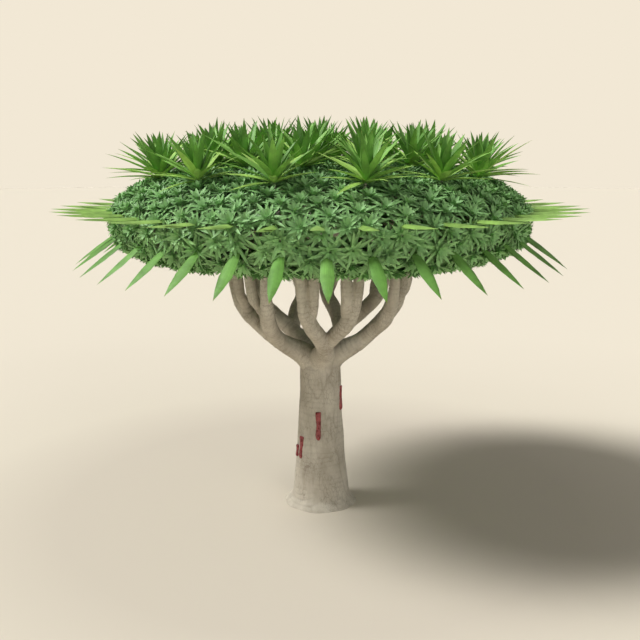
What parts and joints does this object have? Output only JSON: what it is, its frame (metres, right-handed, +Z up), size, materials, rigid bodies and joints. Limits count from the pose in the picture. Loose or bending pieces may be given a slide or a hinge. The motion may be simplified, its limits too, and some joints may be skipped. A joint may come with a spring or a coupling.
{
  "type": "dragon blood tree",
  "caption": "Whole dragon blood tree: stout trunk with resin streaks, forked boughs and a flat umbrella crown of sword-leaf rosettes.",
  "frame": {"origin": "centre of the trunk's flat cut at ground level", "axes": "+Z up the trunk, the tree's front faces -Y, +X to the right seen from the front"},
  "size_m": [6.9998, 6.9998, 5.4065],
  "materials": {
    "bark": "matt grey-brown bark, finely cracked and ringed",
    "crown_foliage": "dense dark green sword leaves, satin",
    "tuft_leaves": "mid green sword leaves, satin",
    "rim_leaves": "lime green sword leaves, satin",
    "skirt_leaves": "bright green sword leaves, satin",
    "resin": "dark crimson dried resin, glossy"
  },
  "bodies": {
    "root": {"trunk": "bark", "bough_front": "bark", "bough_right": "bark", "bough_back_right": "bark", "bough_back_left": "bark", "bough_left": "bark", "arm_front": "bark", "arm_right": "bark", "arm_back_right": "bark", "arm_back_left": "bark", "arm_left": "bark", "limb_front_1": "bark", "limb_front_2": "bark", "limb_right_1": "bark", "limb_right_2": "bark", "limb_back_right_1": "bark", "limb_back_right_2": "bark", "limb_back_left_1": "bark", "limb_back_left_2": "bark", "limb_left_1": "bark", "limb_left_2": "bark", "foliage_front": "crown_foliage", "foliage_right": "crown_foliage", "foliage_back_right": "crown_foliage", "foliage_back_left": "crown_foliage", "foliage_left": "crown_foliage", "foliage_middle": "crown_foliage", "rim_leaves_front": "rim_leaves", "rim_leaves_right": "rim_leaves", "rim_leaves_back_right": "rim_leaves", "rim_leaves_back_left": "rim_leaves", "rim_leaves_left": "rim_leaves", "skirt_leaves_front": "skirt_leaves", "skirt_leaves_right": "skirt_leaves", "skirt_leaves_back_right": "skirt_leaves", "skirt_leaves_back_left": "skirt_leaves", "skirt_leaves_left": "skirt_leaves", "tuft_outer_1": "tuft_leaves", "tuft_outer_2": "tuft_leaves", "tuft_outer_3": "tuft_leaves", "tuft_outer_4": "tuft_leaves", "tuft_outer_5": "tuft_leaves", "tuft_outer_6": "tuft_leaves", "tuft_outer_7": "tuft_leaves", "tuft_outer_8": "tuft_leaves", "tuft_outer_9": "tuft_leaves", "tuft_outer_10": "tuft_leaves", "tuft_outer_11": "tuft_leaves", "tuft_outer_12": "tuft_leaves", "tuft_outer_13": "tuft_leaves", "tuft_inner_1": "tuft_leaves", "tuft_inner_2": "tuft_leaves", "tuft_inner_3": "tuft_leaves", "tuft_inner_4": "tuft_leaves", "tuft_inner_5": "tuft_leaves", "tuft_middle": "tuft_leaves", "resin_1": "resin", "resin_2": "resin", "resin_3": "resin", "resin_4": "resin"}
  },
  "joints": []
}
